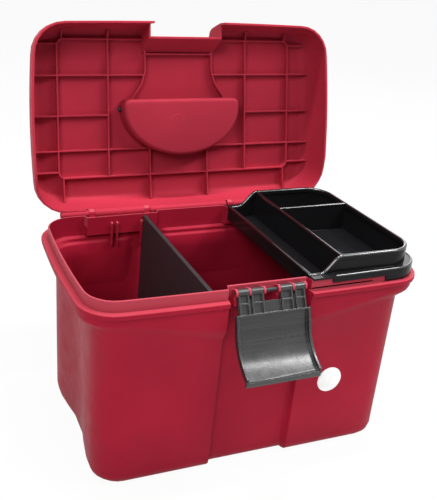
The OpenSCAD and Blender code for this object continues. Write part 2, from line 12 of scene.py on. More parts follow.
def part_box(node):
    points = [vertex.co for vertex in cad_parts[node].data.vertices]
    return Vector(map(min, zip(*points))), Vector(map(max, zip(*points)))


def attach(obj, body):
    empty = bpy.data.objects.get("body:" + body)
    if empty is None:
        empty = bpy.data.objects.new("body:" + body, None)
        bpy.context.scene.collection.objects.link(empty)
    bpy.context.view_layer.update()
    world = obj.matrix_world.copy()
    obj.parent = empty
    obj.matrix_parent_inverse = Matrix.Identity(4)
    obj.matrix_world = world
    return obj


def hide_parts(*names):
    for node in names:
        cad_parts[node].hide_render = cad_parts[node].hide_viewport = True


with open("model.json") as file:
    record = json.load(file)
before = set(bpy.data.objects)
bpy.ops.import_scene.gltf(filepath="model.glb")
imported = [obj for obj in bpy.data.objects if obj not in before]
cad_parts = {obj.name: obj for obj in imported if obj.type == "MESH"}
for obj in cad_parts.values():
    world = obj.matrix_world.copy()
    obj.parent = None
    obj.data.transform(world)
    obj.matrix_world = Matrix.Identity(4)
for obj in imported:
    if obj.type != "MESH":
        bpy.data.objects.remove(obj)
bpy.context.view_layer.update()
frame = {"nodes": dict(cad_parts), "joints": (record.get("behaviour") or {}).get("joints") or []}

bl_info = {
    "name": "Grooming box",
    "version": (1, 0, 0),
    "blender": (4, 5, 0),
    "location": "View3D > Sidebar > Grooming box",
    "description": "Builds the looks of a moulded grooming box around its packed frame",
    "category": "Object",
}

MM = 0.001
JOINTS = {joint["name"]: joint for joint in frame["joints"]}
LID_HINGE = Vector(JOINTS["lid_hinge"]["pos_m"])
LID_OPEN = math.radians(JOINTS["lid_hinge"]["range_deg"][1])
BLACK_NODES = ("latch_pin", "handle", "divider")
STEEL_NODES = ("hinge_pin_left", "hinge_pin_right")

# A distance from the middle that lies outside every moulding, and the way from front to back
OUTSIDE = 0.5
BACKWARD = Vector((0.0, 1.0, 0.0))
# Small room between two surfaces, gap that is welded, and bend from which an edge of a small piece is sharp
EASE = 0.1 * MM
WELD_GAP = 0.01 * MM
SHARP_ANGLE = math.radians(40)

# Noise in the finishes: waves in a metre, octaves of detail, and the part of its range that is used
SLOW_WAVES = 9.0
MIDDLE_WAVES = 70.0
FINE_WAVES = 1500.0
STREAK_WAVES = (14.0, 900.0, 900.0)
STEEL_WAVES = (40.0, 2200.0, 2200.0)
PLATE_WAVES = (60.0, 60.0, 60.0)
PLAIN_DETAIL = 3.0
FINE_DETAIL = 2.0
SLOW_RANGE = (0.35, 0.65)
NOISE_RANGE = (0.3, 0.7)
STREAK_RANGE = (0.40, 0.75)

# Rubbed edges, which also carry painted edge highlights, grain and gloss of the plastics
EDGE_RANGE = (0.62, 0.93)
BEVEL_SAMPLES = 6
LEAST_RUB_AND_HIGHLIGHT = 0.35
GLOSS_SPREAD = 0.05
GRAIN_STRENGTH = 0.35
STREAK_DEPTH = 2.0

# Painted light on the tub: its upward faces are painted paler as light from above, and the outer face of
# its lip is painted paler as a painted sheen
UPWARD_RANGE = (0.3, 0.9)
LIP_FOOT = 0.2110
LIP_FADE = 0.0015
LIP_OUTWARD = 0.04
LIP_PALE = 2.8

# Darker and lighter colour and least and most roughness of the plain finishes
STEEL_COLOURS = ((0.16, 0.16, 0.165), (0.30, 0.30, 0.305))
STEEL_GLOSS = (0.25, 0.42)
PLATE_COLOURS = ((0.86, 0.86, 0.85), (0.93, 0.93, 0.93))
PLATE_GLOSS = (0.22, 0.34)
WHITE = (1.0, 1.0, 1.0, 1.0)

# Sockets of the Mix node for colours
MIX_SHARE, MIX_FIRST, MIX_SECOND, MIX_RESULT = 0, 6, 7, 2

# Steps round or along the small pieces
CURVE_STEPS = 8
CORNER_STEPS = 16
RISE_STEPS = 14
SEAM_STEPS = 24
ROUND_STEPS = 40
MOON_STEPS = 48
SHOULDER_STEPS = 60
PLATE_STEPS = 64
LEDGE_STEPS = 96

# Rolled rims: height of a cap for half its width, its sink and the least mitre at a corner, then how far
# the rim, the ridge and the ledge bead reach down, over the wall and below the flange's top
CAP_HIGH = 0.8
CAP_SINK = 0.2 * MM
LEAST_MITRE = 0.5
RIM_FOOT = 0.5 * MM
RIDGE_FOOT = 2.0 * MM
RIDGE_OVER = 0.35 * MM
LEDGE_FOOT = 0.6 * MM
LEDGE_BELOW = 1.2 * MM

# Half outline of the blank plate, in shares of its radius and its thickness
PLATE_OUTLINE = ((0.0, -1.0), (0.97, -1.0), (1.0, 0.35), (0.985, 0.8), (0.95, 1.0), (0.0, 1.12))
# Outline of a pin mark's ridge, in shares of its height
MARK_OUTLINE = ((-3.0, 2.0), (-2.0, -0.6), (0.0, -1.0), (2.0, -0.6), (3.0, 2.0))
POCKET_MARK_SIZE = 2.2
POCKET_MARK_SINK = 0.62
# Rows of the pocket's bulge: share of its outline and share of its crown
POCKET_ROWS = ((0.82, 0.25), (0.6, 0.5), (0.35, 0.7), (0.15, 0.78))
ROD_SOFT = 0.3
# How far beside a rib the lid's wall is measured, in half ribs
RIB_BESIDE = 1.4

# Inner shoulder: height of a step for its reach, start of the second step and end of both in step
# heights, reach of the second step for the first, and the return to the wall
STEP_HIGH = 1.5
SECOND_START = 1.6
SECOND_REACH = 0.75
STEPS_END = 2.6
STEP_ROWS = 15
RETURN_ROWS = 4
RETURN_BEND = 1.5

# Lamps: name, setting of the power, size across and up, place
LAMPS = (("key_lamp", "key_light", (0.9, 0.9), (-1.35, -1.5, 1.75)),
         ("top_lamp", "top_light", (1.4, 0.12), (0.0, 0.05, 2.1)),
         ("back_lamp", "back_light", (0.9, 0.9), (1.4, 1.7, 1.1)),
         ("strip_lamp", "strip_light", (1.0, 0.09), (0.8, -1.3, 2.2)),
         ("edge_lamp", "edge_light", (1.0, 0.28), (1.27, -0.5, 1.83)))
LAMP_AIM = Vector((0.0, 0.0, 0.2))
FLOOR_HALF = 6.0
SENSOR = 36.0


# Settings

class FinishSettings(bpy.types.PropertyGroup):
    """Colours and surface values of the mouldings."""

    tub_red: FloatVectorProperty(
        name="Tub red", description="Colour of the tub", subtype="COLOR",
        default=(0.300, 0.0090, 0.0260), min=0.0, max=1.0)
    # Painted light: the lid is the tub's plastic painted a shade lighter and paler, as a painted sheen
    lid_red: FloatVectorProperty(
        name="Lid red", description="Colour of the lid, a shade lighter", subtype="COLOR",
        default=(0.375, 0.024, 0.0450), min=0.0, max=1.0)
    # Painted shade: the pocket's face is the lid's plastic painted a shade darker, so that it looks no
    # brighter than the lid beside it
    pocket_shaded_red: FloatVectorProperty(
        name="Pocket red", description="Colour of the pocket's face, a shade darker", subtype="COLOR",
        default=(0.285, 0.020, 0.036), min=0.0, max=1.0)
    # This lighter red paints the edge highlights of the tub and lid as well as their rubbed edges, and the
    # painted light on the tub's upward faces and lip
    red_rubbed_and_lit: FloatVectorProperty(
        name="Rubbed red", description="Colour of rubbed edges on the tub and lid", subtype="COLOR",
        default=(0.60, 0.13, 0.165), min=0.0, max=1.0)
    red_sheen: FloatVectorProperty(
        name="Red sheen", description="Tint of the gloss on the tub and lid", subtype="COLOR",
        default=(1.0, 0.32, 0.38), min=0.0, max=1.0)
    latch: FloatVectorProperty(
        name="Latch", description="Colour of the satin latch", subtype="COLOR",
        default=(0.014, 0.014, 0.015), min=0.0, max=1.0)
    black: FloatVectorProperty(
        name="Black", description="Colour of the handle and divider", subtype="COLOR",
        default=(0.018, 0.018, 0.020), min=0.0, max=1.0)
    # This lighter grey paints the edge highlights of the black parts as well as their rubbed edges
    black_rubbed_and_lit: FloatVectorProperty(
        name="Rubbed black", description="Colour of rubbed edges on black parts", subtype="COLOR",
        default=(0.22, 0.22, 0.225), min=0.0, max=1.0)
    tray: FloatVectorProperty(
        name="Tray", description="Colour of the polished tray", subtype="COLOR",
        default=(0.009, 0.009, 0.010), min=0.0, max=1.0)
    edge_round: FloatProperty(
        name="Edge rounding", description="Radius over which moulded edges look rounded",
        default=0.9 * MM, min=0.0, unit="LENGTH")
    grain: FloatProperty(
        name="Grain depth", description="Depth of the fine moulded grain",
        default=0.05 * MM, min=0.0, unit="LENGTH")
    # Painted light: share of the lighter red painted on the tub's upward faces as light from above
    upward_painted_light: FloatProperty(
        name="Upward rubbing", description="Share of rubbed red on the tub's upward faces",
        default=0.12, min=0.0, max=1.0)
    smooth_angle: FloatProperty(
        name="Smooth angle", description="Edges flatter than this are shaded as one surface",
        default=math.radians(32), subtype="ANGLE")


class DetailSettings(bpy.types.PropertyGroup):
    """Sizes of the small pieces."""

    plate_radius: FloatProperty(
        name="Plate radius", description="Radius of the blank round plate on the front",
        default=15.5 * MM, unit="LENGTH")
    plate_thickness: FloatProperty(
        name="Plate thickness", description="Thickness of the blank round plate",
        default=1.2 * MM, unit="LENGTH")
    plate_place: FloatVectorProperty(
        name="Plate place", description="Centre of the blank plate, across and up the front",
        size=2, default=(0.093, 0.0916), unit="LENGTH")
    mark_radius: FloatProperty(
        name="Mark radius", description="Radius of the pin marks inside the lid",
        default=4.0 * MM, unit="LENGTH")
    mark_height: FloatProperty(
        name="Mark height", description="How far the pin marks stand out",
        default=0.15 * MM, unit="LENGTH")
    mark_across: FloatVectorProperty(
        name="Marks across", description="Distances of the pin marks from the middle of the lid",
        size=2, default=(0.112, 0.155), unit="LENGTH")
    mark_rows: FloatVectorProperty(
        name="Mark rows", description="Places of the rows of pin marks, from front to back",
        size=3, default=(-0.065, -0.014, 0.026), unit="LENGTH")
    pocket_mark: FloatVectorProperty(
        name="Pocket mark", description="Place of the mark on the pocket",
        size=2, default=(-0.009, 0.008), unit="LENGTH")
    plate_level: FloatProperty(
        name="Lid plate", description="Height of the lid's inner face when it is shut",
        default=0.2614, unit="LENGTH")
    pocket_a: FloatProperty(
        name="Pocket half width", description="Half the width of the rounded pocket face",
        default=0.0806, unit="LENGTH")
    pocket_b: FloatProperty(
        name="Pocket reach", description="Reach of the pocket face behind its pivot line",
        default=0.0606, unit="LENGTH")
    pocket_front: FloatProperty(
        name="Pocket front", description="Reach of the pocket face in front of its pivot line",
        default=0.0131, unit="LENGTH")
    pocket_corner: FloatProperty(
        name="Pocket shoulder", description="Rounding of the pocket's shoulders in plan",
        default=0.0085, unit="LENGTH")
    pocket_y: FloatProperty(
        name="Pivot line", description="Place of the handle's pivot line from the middle of the shut lid",
        default=-0.008, unit="LENGTH")
    pocket_level: FloatProperty(
        name="Pocket level", description="Height of the pocket's face when the lid is shut",
        default=0.2348, unit="LENGTH")
    pocket_depth: FloatProperty(
        name="Pocket depth", description="Depth of the pocket's rounded skirt",
        default=0.0255, unit="LENGTH")
    pocket_wall: FloatProperty(
        name="Pocket wall", description="Thickness of the skirt, which ends inside the pocket's own wall",
        default=2.4 * MM, unit="LENGTH")
    pocket_floor: FloatProperty(
        name="Pocket floor", description="Thickness of the face, which ends inside the pocket's own floor",
        default=2.9 * MM, unit="LENGTH")
    pocket_round: FloatProperty(
        name="Pocket rounding", description="Rounding of the pocket's edge",
        default=0.0048, unit="LENGTH")
    pocket_crown: FloatProperty(
        name="Pocket crown", description="How far the pocket's face bulges",
        default=0.0012, unit="LENGTH")
    end_rib: FloatProperty(
        name="End rib", description="Place of the front rib that meets the lid's end walls",
        default=-0.0915, unit="LENGTH")
    side_rib: FloatProperty(
        name="Side rib", description="Place of the outer ribs that meet the lid's front and back walls",
        default=0.1575, unit="LENGTH")
    rib_half: FloatProperty(
        name="Rib half", description="Half the thickness of a rib, with a little room",
        default=1.0 * MM, unit="LENGTH")
    rib_level: FloatProperty(
        name="Rib level", description="Lowest place of the ribs in the shut lid",
        default=0.246, unit="LENGTH")
    seam_half: FloatProperty(
        name="Seam half length", description="Half the length of the seam across the latch",
        default=0.034, unit="LENGTH")
    seam_height: FloatProperty(
        name="Seam height", description="Height of the seam on the hanging latch",
        default=0.1705, unit="LENGTH")
    seam_radius: FloatProperty(
        name="Seam radius", description="Radius of the latch's seam", default=0.4 * MM, unit="LENGTH")
    shoulder_level: FloatProperty(
        name="Shoulder level", description="Height of the top of the shoulder inside the tub",
        default=0.1995, unit="LENGTH")
    shoulder_step: FloatProperty(
        name="Shoulder step", description="Reach of each of the shoulder's two steps",
        default=0.0027, unit="LENGTH")
    shoulder_sink: FloatProperty(
        name="Shoulder sink", description="How far the shoulder's edges sink into the wall",
        default=0.4 * MM, unit="LENGTH")
    shoulder_return: FloatProperty(
        name="Shoulder return", description="Depth at which the shoulder is back in the wall",
        default=0.080, unit="LENGTH")
    shoulder_taper: FloatProperty(
        name="Shoulder taper", description="Share of the shoulder's length over which an end runs out",
        default=0.07, min=0.01, max=0.5)
    shoulder_fade: FloatProperty(
        name="Left fade", description="Share of the left shoulder's length over which its far end runs out",
        default=0.3, min=0.01, max=1.0)
    shoulder_left: FloatProperty(
        name="Left middle", description="Place across that the left shoulder is measured from",
        default=-0.130, unit="LENGTH")
    shoulder_left_turn: FloatVectorProperty(
        name="Left shoulder", description="Directions in which the left shoulder starts and ends",
        size=2, default=(math.radians(63.5), math.radians(126)), subtype="EULER")
    shoulder_back_turn: FloatVectorProperty(
        name="Back shoulder", description="Directions in which the back shoulder starts and ends",
        size=2, default=(math.radians(44), math.radians(112)), subtype="EULER")
    bead_half: FloatProperty(
        name="Bead half length", description="Half the length of the bead at the back of the lid",
        default=0.0545, unit="LENGTH")
    bead_sides: FloatVectorProperty(
        name="Side beads", description="Where the beads beside the hinges start and end, from the middle",
        size=2, default=(0.1145, 0.170), unit="LENGTH")
    bead_radius: FloatProperty(
        name="Bead radius", description="Radius of the bead at the back of the lid",
        default=0.0044, unit="LENGTH")
    tray_wall: FloatProperty(
        name="Tray wall", description="Thickness of the tray's walls", default=0.0022, unit="LENGTH")
    tray_across: FloatProperty(
        name="Tray across", description="Distance of the tray's end walls, middle to middle",
        default=0.135, unit="LENGTH")
    tray_front: FloatProperty(
        name="Tray front", description="Middle of the tray's front wall", default=-0.1044, unit="LENGTH")
    tray_back: FloatProperty(
        name="Tray back", description="Middle of the tray's back wall", default=0.0988, unit="LENGTH")
    tray_corner: FloatProperty(
        name="Tray corner", description="Radius of the tray's round corners", default=0.0289, unit="LENGTH")
    tray_channel: FloatProperty(
        name="Tray channel", description="Width of the low channel to the middle of the ridge",
        default=0.0368, unit="LENGTH")
    tray_cross: FloatProperty(
        name="Cross wall", description="Place of the tray's cross wall", default=0.037, unit="LENGTH")
    tray_low: FloatProperty(
        name="Low rim", description="Height of the tray's low rim", default=0.226, unit="LENGTH")
    rise_span: FloatProperty(
        name="Rise", description="Length of the curve from the low rim to the ridge",
        default=0.0249, unit="LENGTH")
    ledge_middle: FloatProperty(
        name="Ledge middle", description="Place in the tray that the flange's edge is measured from",
        default=0.110, unit="LENGTH")
    ledge_height: FloatProperty(
        name="Ledge height", description="Height of the top of the tray's flange",
        default=0.22655, unit="LENGTH")
    ledge_inset: FloatProperty(
        name="Ledge bead", description="Half the width of the bead on the flange's edge",
        default=0.0013, unit="LENGTH")
    ledge_from: FloatProperty(
        name="Ledge from", description="Direction in which the bead starts", default=math.radians(-106),
        subtype="ANGLE")
    ledge_to: FloatProperty(
        name="Ledge to", description="Direction in which the bead ends", default=math.radians(58),
        subtype="ANGLE")
    rim_inside: FloatProperty(
        name="Rim inside", description="Reach of the rolled rim into the tray",
        default=0.0026, unit="LENGTH")
    rim_outside: FloatProperty(
        name="Rim outside", description="Reach of the rolled rim out of the tray",
        default=0.0016, unit="LENGTH")
    rim_drop: FloatProperty(
        name="Rim drop", description="How far the rolled rim reaches down the wall",
        default=0.0048, unit="LENGTH")


class StageSettings(bpy.types.PropertyGroup):
    """Camera and light values."""

    camera_place: FloatVectorProperty(
        name="Camera place", description="Where the camera stands", subtype="TRANSLATION",
        unit="LENGTH", default=(-0.37327, -0.72432, 0.57561))
    camera_turn: FloatVectorProperty(
        name="Camera turn", description="Turn to the right, tilt and roll of the camera",
        subtype="EULER", default=(0.383890, -0.306511, 0.073664))
    lens: FloatProperty(
        name="Lens", description="Focal length of the camera in millimetres", default=54.134)
    shift: FloatVectorProperty(
        name="Shift", description="Camera shift across and up", size=2, default=(0.1, -0.18))
    floor_white: FloatProperty(
        name="Floor white", description="Share of plain white in what the camera sees of the floor",
        default=0.94, min=0.0, max=1.0)
    floor_paper: FloatVectorProperty(
        name="Floor paper", description="Colour of the floor that light bounces off", subtype="COLOR",
        default=(0.75, 0.75, 0.75), min=0.0, max=1.0)
    world_light: FloatProperty(
        name="World light", description="Strength of the even studio light", default=0.18)
    key_light: FloatProperty(
        name="Key light", description="Power of the large front left lamp in watts", default=31.5)
    top_light: FloatProperty(
        name="Top light", description="Power of the strip lamp overhead in watts", default=42.0)
    strip_light: FloatProperty(
        name="Strip light", description="Power of the narrow front right lamp in watts", default=11.0)
    edge_light: FloatProperty(
        name="Edge light", description="Power of the strip lamp high at the right in watts", default=26.0)
    back_light: FloatProperty(
        name="Back light", description="Power of the lamp behind at the right in watts", default=8.0)


# Node helpers

def put(tree, kind, **values):
    """Adds a node and sets its plain properties and its named inputs."""
    node = tree.nodes.new(kind)
    for name, value in values.items():
        if hasattr(node, name):
            setattr(node, name, value)
        else:
            node.inputs[name.replace("_", " ")].default_value = value
    return node


def wire(tree, source, out, target, into):
    """Joins one node's output to another's input."""
    tree.links.new(source.outputs[out], target.inputs[into])


def noise(tree, place, scale, detail=PLAIN_DETAIL):
    """A noise pattern at a place in the object's own metres."""
    node = put(tree, "ShaderNodeTexNoise", Scale=scale, Detail=detail)
    wire(tree, place, "Object", node, "Vector")
    return node


def spread(tree, source, out, low, high, to_low, to_high):
    """Maps one range of values to another."""
    node = put(tree, "ShaderNodeMapRange", From_Min=low, From_Max=high, To_Min=to_low, To_Max=to_high)
    wire(tree, source, out, node, "Value")
    return node


def blend_colours(tree, share, share_out, first, second):
    """Mixes two colours or colour nodes by a share."""
    node = put(tree, "ShaderNodeMix", data_type="RGBA")
    wire(tree, share, share_out, node, MIX_SHARE)
    for socket, value in ((MIX_FIRST, first), (MIX_SECOND, second)):
        if isinstance(value, bpy.types.Node):
            wire(tree, value, MIX_RESULT, node, socket)
        else:
            node.inputs[socket].default_value = (*value, 1.0)
    return node


def joined(tree, operation, first, first_out, second, second_out):
    """Joins two values by one of the Math node's operations."""
    node = put(tree, "ShaderNodeMath", operation=operation)
    wire(tree, first, first_out, node, 0)
    wire(tree, second, second_out, node, 1)
    return node


def alike(tree, first, first_out, second, second_out):
    """How far two directions or places agree."""
    node = put(tree, "ShaderNodeVectorMath", operation="DOT_PRODUCT")
    wire(tree, first, first_out, node, 0)
    wire(tree, second, second_out, node, 1)
    return node


def drawn_lines(tree, place, waves, detail):
    """A noise pattern with its own number of waves along each axis."""
    drawn = put(tree, "ShaderNodeMapping", Scale=waves)
    wire(tree, place, "Object", drawn, "Vector")
    lines = put(tree, "ShaderNodeTexNoise", Scale=1.0, Detail=detail)
    wire(tree, drawn, "Vector", lines, "Vector")
    return lines


def edge_rub_and_highlight_mask(tree, rounded):
    """Gives 1 on moulded edges and 0 on flat faces, for rubbed edges and painted edge highlights."""
    face = put(tree, "ShaderNodeNewGeometry")
    agree = alike(tree, rounded, "Normal", face, "Normal")
    return spread(tree, agree, "Value", *EDGE_RANGE, 1.0, 0.0)


def painted_lip_sheen(tree, place, most):
    """Gives a share of painted sheen on the outer face of the tub's lip."""
    outward = alike(tree, place, "Normal", place, "Object")
    outside = spread(tree, outward, "Value", LIP_OUTWARD, 2.0 * LIP_OUTWARD, 0.0, 1.0)
    where = put(tree, "ShaderNodeSeparateXYZ")
    wire(tree, place, "Object", where, "Vector")
    above = spread(tree, where, "Z", LIP_FOOT, LIP_FOOT + LIP_FADE, 0.0, most)
    return joined(tree, "MULTIPLY", outside, "Result", above, "Result")


def start_material(name):
    """A new material with its node tree, its shader and the place in the object's own metres."""
    material = bpy.data.materials.new(name)
    material.use_nodes = True
    tree = material.node_tree
    return material, tree, tree.nodes["Principled BSDF"], put(tree, "ShaderNodeTexCoord")


def moulded(name, colour, rubbed_and_lit_colour, rough, grain=1.0, edge=1.0, rubbing_and_highlight=0.55, mottle=0.10, streaks=0.0,
            shine=0.5, tint=(1.0, 1.0, 1.0), pale=0.0):
    """A moulded plastic with fine grain, uneven gloss and rubbed edges that also carry painted edge
    highlights, and where asked painted light on upward faces and a painted sheen on the lip.
    """
    finish = bpy.context.scene.groombox_finish
    depth = finish.grain * grain
    material, tree, shader, place = start_material(name)
    shader.inputs["Specular IOR Level"].default_value = shine
    shader.inputs["Specular Tint"].default_value = (*tint, 1.0)
    slow = noise(tree, place, SLOW_WAVES)
    middle = noise(tree, place, MIDDLE_WAVES)
    fine = noise(tree, place, FINE_WAVES, FINE_DETAIL)
    dark = tuple(c * (1.0 - mottle) for c in colour)
    light = tuple(min(1.0, c * (1.0 + mottle)) for c in colour)
    share = spread(tree, slow, "Fac", *SLOW_RANGE, 0.0, 1.0)
    body = blend_colours(tree, share, "Result", dark, light)
    if streaks > 0.0:
        lines = drawn_lines(tree, place, STREAK_WAVES, FINE_DETAIL)
        drag = spread(tree, lines, "Fac", *STREAK_RANGE, 0.0, streaks)
        body = blend_colours(tree, drag, "Result", body, rubbed_and_lit_colour)
    if pale > 0.0:
        # Painted light: upward faces are mixed toward the lighter red as if lit from above
        facing = put(tree, "ShaderNodeSeparateXYZ")
        wire(tree, place, "Normal", facing, "Vector")
        upward = spread(tree, facing, "Z", *UPWARD_RANGE, 0.0, pale)
        body = blend_colours(tree, upward, "Result", body, rubbed_and_lit_colour)
        # Painted sheen: the outer face of the lip is mixed toward the lighter red
        body = blend_colours(tree, painted_lip_sheen(tree, place, LIP_PALE * pale), "Value", body, rubbed_and_lit_colour)
    rounded = put(tree, "ShaderNodeBevel", samples=BEVEL_SAMPLES, Radius=finish.edge_round * edge)
    # Rubbed edges with painted edge highlights: edges found by the bevel are mixed toward the lighter
    # colour in random patches
    patch = spread(tree, middle, "Fac", *NOISE_RANGE, LEAST_RUB_AND_HIGHLIGHT * rubbing_and_highlight, rubbing_and_highlight)
    rubbed = joined(tree, "MULTIPLY", edge_rub_and_highlight_mask(tree, rounded), "Result", patch, "Result")
    surface = blend_colours(tree, rubbed, "Value", body, rubbed_and_lit_colour)
    wire(tree, surface, MIX_RESULT, shader, "Base Color")
    gloss = spread(tree, middle, "Fac", *NOISE_RANGE, rough - GLOSS_SPREAD, rough + GLOSS_SPREAD)
    wire(tree, gloss, "Result", shader, "Roughness")
    bump = put(tree, "ShaderNodeBump", Strength=GRAIN_STRENGTH, Distance=depth)
    wire(tree, fine, "Fac", bump, "Height")
    wire(tree, rounded, "Normal", bump, "Normal")
    if streaks > 0.0:
        grain_bump = bump
        bump = put(tree, "ShaderNodeBump", Strength=streaks, Distance=depth * STREAK_DEPTH)
        wire(tree, lines, "Fac", bump, "Height")
        wire(tree, grain_bump, "Normal", bump, "Normal")
    wire(tree, bump, "Normal", shader, "Normal")
    return material


def two_tone(name, waves, colours, roughness, metal=0.0):
    """A plain finish that wavers between two colours and two kinds of gloss."""
    material, tree, shader, place = start_material(name)
    shader.inputs["Metallic"].default_value = metal
    lines = drawn_lines(tree, place, waves, PLAIN_DETAIL)
    body = blend_colours(tree, lines, "Fac", *colours)
    wire(tree, body, MIX_RESULT, shader, "Base Color")
    gloss = spread(tree, lines, "Fac", *NOISE_RANGE, *roughness)
    wire(tree, gloss, "Result", shader, "Roughness")
    return material


# Mesh helpers

def soft_shading(angle):
    """A modifier tree that welds split corners and smooths edges flatter than an angle."""
    tree = bpy.data.node_groups.new("weld_and_smooth", "GeometryNodeTree")
    tree.interface.new_socket("Geometry", in_out="INPUT", socket_type="NodeSocketGeometry")
    tree.interface.new_socket("Geometry", in_out="OUTPUT", socket_type="NodeSocketGeometry")
    start = tree.nodes.new("NodeGroupInput")
    end = tree.nodes.new("NodeGroupOutput")
    clear = put(tree, "GeometryNodeRemoveAttribute", Name="custom_normal")
    weld = put(tree, "GeometryNodeMergeByDistance", Distance=WELD_GAP)
    bend = tree.nodes.new("GeometryNodeInputMeshEdgeAngle")
    flat = put(tree, "FunctionNodeCompare", data_type="FLOAT", operation="LESS_EQUAL")
    flat.inputs[1].default_value = angle
    edges = put(tree, "GeometryNodeSetShadeSmooth", domain="EDGE")
    faces = put(tree, "GeometryNodeSetShadeSmooth", domain="FACE", Shade_Smooth=True)
    wire(tree, start, 0, clear, "Geometry")
    for before, after in ((clear, weld), (weld, edges), (edges, faces)):
        wire(tree, before, "Geometry", after, "Geometry")
    wire(tree, bend, "Unsigned Angle", flat, 0)
    wire(tree, flat, "Result", edges, "Shade Smooth")
    wire(tree, faces, "Geometry", end, 0)
    return tree


def give_finish(node, material, shading):
    """Sets a moulding's material and its smooth shading."""
    node.data.materials.clear()
    node.data.materials.append(material)
    modifier = node.modifiers.new("weld_and_smooth", "NODES")
    modifier.node_group = shading


def make_piece(name, build, body, material):
    """Builds a mesh piece, gives it its material and rides it on a body."""
    mesh = bpy.data.meshes.new(name)
    shape = bmesh.new()
    build(shape)
    bmesh.ops.recalc_face_normals(shape, faces=shape.faces)
    shape.to_mesh(mesh)
    shape.free()
    mesh.polygons.foreach_set("use_smooth", [True] * len(mesh.polygons))
    mesh.set_sharp_from_angle(angle=SHARP_ANGLE)
    piece = bpy.data.objects.new(name, mesh)
    bpy.context.scene.collection.objects.link(piece)
    mesh.materials.append(material)
    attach(piece, body)
    return piece


def solid(context, name):
    """A moulding as it stands, with its modifiers."""
    return frame["nodes"][name].evaluated_get(context.evaluated_depsgraph_get())


def meet(target, start, way, piece):
    """Where a line first meets a moulding, and how the surface faces there."""
    hit, spot, normal, _ = target.ray_cast(start, way)
    if not hit:
        raise RuntimeError("The " + piece + " found no wall to sit on")
    return spot, normal


def ease(t):
    """A smooth rise from 0 to 1."""
    return t * t * (3.0 - 2.0 * t)


def on_circle(radius, height, i, steps):
    """A point on a circle round Z, at one of its steps."""
    a = 2.0 * math.pi * i / steps
    return Vector((radius * math.cos(a), radius * math.sin(a), height))


def skin(shape, rings, closed=False):
    """Joins rings of corners one after another, and closes the two ends or joins last to first."""
    count = len(rings[0])
    pairs = list(zip(rings, rings[1:]))
    if closed:
        pairs.append((rings[-1], rings[0]))
    for this, after in pairs:
        for j in range(count):
            k = (j + 1) % count
            shape.faces.new((this[j], this[k], after[k], after[j]))
    if not closed:
        shape.faces.new(rings[0])
        shape.faces.new(list(reversed(rings[-1])))


def turned(shape, profile, turns, place):
    """Adds a closed turned form: profile points are radius and height, from the axis to the axis."""
    rings = []
    for radius, height in profile:
        count = turns if radius > 0.0 else 1
        rings.append([shape.verts.new(place @ on_circle(radius, height, i, turns)) for i in range(count)])
    for low, high in zip(rings, rings[1:]):
        for i in range(turns):
            j = (i + 1) % turns
            if len(low) == 1:
                shape.faces.new((low[0], high[i], high[j]))
            elif len(high) == 1:
                shape.faces.new((low[i], low[j], high[0]))
            else:
                shape.faces.new((low[i], low[j], high[j], high[i]))


def ring_of(shape, profile, turns, place):
    """Adds a closed ring: the profile is a closed outline of radius and height."""
    rings = []
    for i in range(turns):
        rings.append([shape.verts.new(place @ on_circle(r, h, i, turns)) for r, h in profile])
    skin(shape, rings, closed=True)


def rounded_cap(inside, outside, drop):
    """Profile of a rolled rim: across from the outer to the inner side, and up from the wall's top."""
    crown = (inside + outside) / 2.0
    middle = (inside - outside) / 2.0
    points = [(-outside, -drop)]
    for i in range(CURVE_STEPS + 1):
        a = math.radians(180.0 - 180.0 * i / CURVE_STEPS)
        points.append((middle + crown * math.cos(a), crown * CAP_HIGH * math.sin(a) - CAP_SINK))
    points.append((inside, -drop))
    return points


def sweep(shape, path, profile, closed):
    """Carries a profile along a path. The profile stays upright, and lies across the path."""
    rings = []
    count = len(path)
    for i, point in enumerate(path):
        before = path[i - 1] if closed or i > 0 else point
        after = path[(i + 1) % count] if closed or i < count - 1 else point
        one = (point - before).normalized()
        two = (after - point).normalized()
        one = one if one.length > 0.0 else two
        two = two if two.length > 0.0 else one
        flat_one = Vector((one.x, one.y, 0.0)).normalized()
        flat_two = Vector((two.x, two.y, 0.0)).normalized()
        along = (flat_one + flat_two).normalized()
        across = Vector((along.y, -along.x, 0.0))
        stretch = 1.0 / max(LEAST_MITRE, across.dot(Vector((flat_one.y, -flat_one.x, 0.0))))
        up = across.cross((one + two).normalized()).normalized()
        if up.z < 0.0:
            up = -up
        rings.append([shape.verts.new(point + across * (u * stretch) + up * v) for u, v in profile])
    skin(shape, rings, closed)


def inset_loop(outline, inset):
    """Moves each point of a closed outline inwards."""
    if inset == 0.0:
        return list(outline)
    count = len(outline)
    moved = []
    for i, point in enumerate(outline):
        before = (point - outline[i - 1]).normalized()
        after = (outline[(i + 1) % count] - point).normalized()
        along = (before + after).normalized()
        moved.append(point + Vector((-along.y, along.x)) * inset)
    return moved


def with_open_lid():
    """Carries a place on the closed lid to where the lid leans open."""
    return (Matrix.Translation(LID_HINGE) @ Matrix.Rotation(-LID_OPEN, 4, "X")
            @ Matrix.Translation(-LID_HINGE))


# Operators

